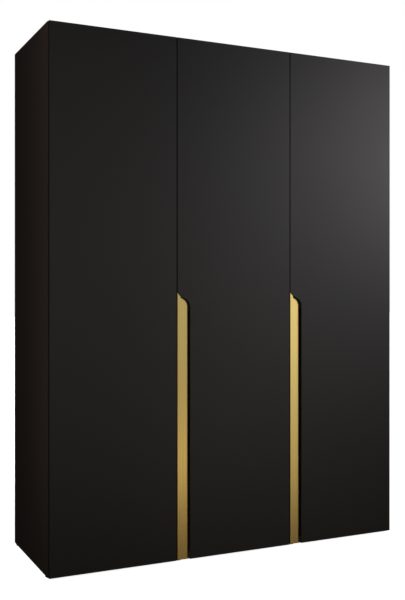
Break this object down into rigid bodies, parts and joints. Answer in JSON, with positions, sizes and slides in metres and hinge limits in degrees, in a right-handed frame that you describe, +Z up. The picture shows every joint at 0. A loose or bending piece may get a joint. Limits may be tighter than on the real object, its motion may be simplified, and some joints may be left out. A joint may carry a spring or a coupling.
{
  "type": "wardrobe with doors",
  "caption": "Tall black wardrobe with overlay slab doors, gold strips let into stepped edge cut-outs as pulls, a hanging bay with hat shelf and a shelved bay.",
  "frame": {"origin": "centre of the footprint's outer box on the floor, at the glides' undersides", "axes": "+Z up, -Y towards the doors' fronts, +X to the right as seen from the front"},
  "size_m": [1.5, 0.512, 2],
  "materials": {
    "black_laminate": "particle board with matt black melamine foil and black edge band",
    "door_laminate": "particle board with satin black foil",
    "back_sheet": "thin hardboard, black lacquered on the inner face",
    "black_plastic": "moulded black plastic",
    "gold": "gold anodised, polished",
    "nickel": "nickel plated pressed steel",
    "chrome": "chrome plated"
  },
  "bodies": {
    "carcass": {"side_panel_left": "black_laminate", "side_panel_right": "black_laminate", "top_panel": "black_laminate", "floor_panel": "black_laminate", "partition": "black_laminate", "plinth_front": "black_laminate", "plinth_back": "black_laminate", "plinth_brace": "black_laminate", "hat_shelf": "black_laminate", "shelf_right_1": "black_laminate", "shelf_right_2": "black_laminate", "shelf_right_3": "black_laminate", "shelf_right_4": "black_laminate", "back_sheet_left": "back_sheet", "back_sheet_middle": "back_sheet", "back_sheet_right": "back_sheet", "back_joint_strip": "black_plastic", "glide_left_front": "black_plastic", "glide_left_back": "black_plastic", "glide_right_front": "black_plastic", "glide_right_back": "black_plastic", "glide_middle_front": "black_plastic", "glide_middle_back": "black_plastic", "hanging_rail": "chrome", "rail_socket_left": "chrome", "rail_socket_right": "chrome", "hinge_arm_left_1": "nickel", "hinge_arm_left_2": "nickel", "hinge_arm_left_3": "nickel", "hinge_arm_left_4": "nickel", "hinge_arm_middle_1": "nickel", "hinge_arm_middle_2": "nickel", "hinge_arm_middle_3": "nickel", "hinge_arm_middle_4": "nickel", "hinge_arm_right_1": "nickel", "hinge_arm_right_2": "nickel", "hinge_arm_right_3": "nickel", "hinge_arm_right_4": "nickel"},
    "left_door": {"door_left": "door_laminate", "hinge_cup_left_1": "nickel", "hinge_cup_left_2": "nickel", "hinge_cup_left_3": "nickel", "hinge_cup_left_4": "nickel"},
    "middle_door": {"door_middle": "door_laminate", "handle_strip_middle": "gold", "hinge_cup_middle_1": "nickel", "hinge_cup_middle_2": "nickel", "hinge_cup_middle_3": "nickel", "hinge_cup_middle_4": "nickel"},
    "right_door": {"door_right": "door_laminate", "handle_strip_right": "gold", "hinge_cup_right_1": "nickel", "hinge_cup_right_2": "nickel", "hinge_cup_right_3": "nickel", "hinge_cup_right_4": "nickel"}
  },
  "joints": [
    {"name": "left_door_hinge", "type": "hinge", "parent": "carcass", "child": "left_door", "pos_m": [-0.743, -0.2505, 1], "axis": [0, 0, -1], "range_deg": [0, 95]},
    {"name": "middle_door_hinge", "type": "hinge", "parent": "carcass", "child": "middle_door", "pos_m": [0.243, -0.2505, 1], "axis": [0, 0, 1], "range_deg": [0, 95]},
    {"name": "right_door_hinge", "type": "hinge", "parent": "carcass", "child": "right_door", "pos_m": [0.743, -0.2505, 1], "axis": [0, 0, 1], "range_deg": [0, 95]}
  ]
}
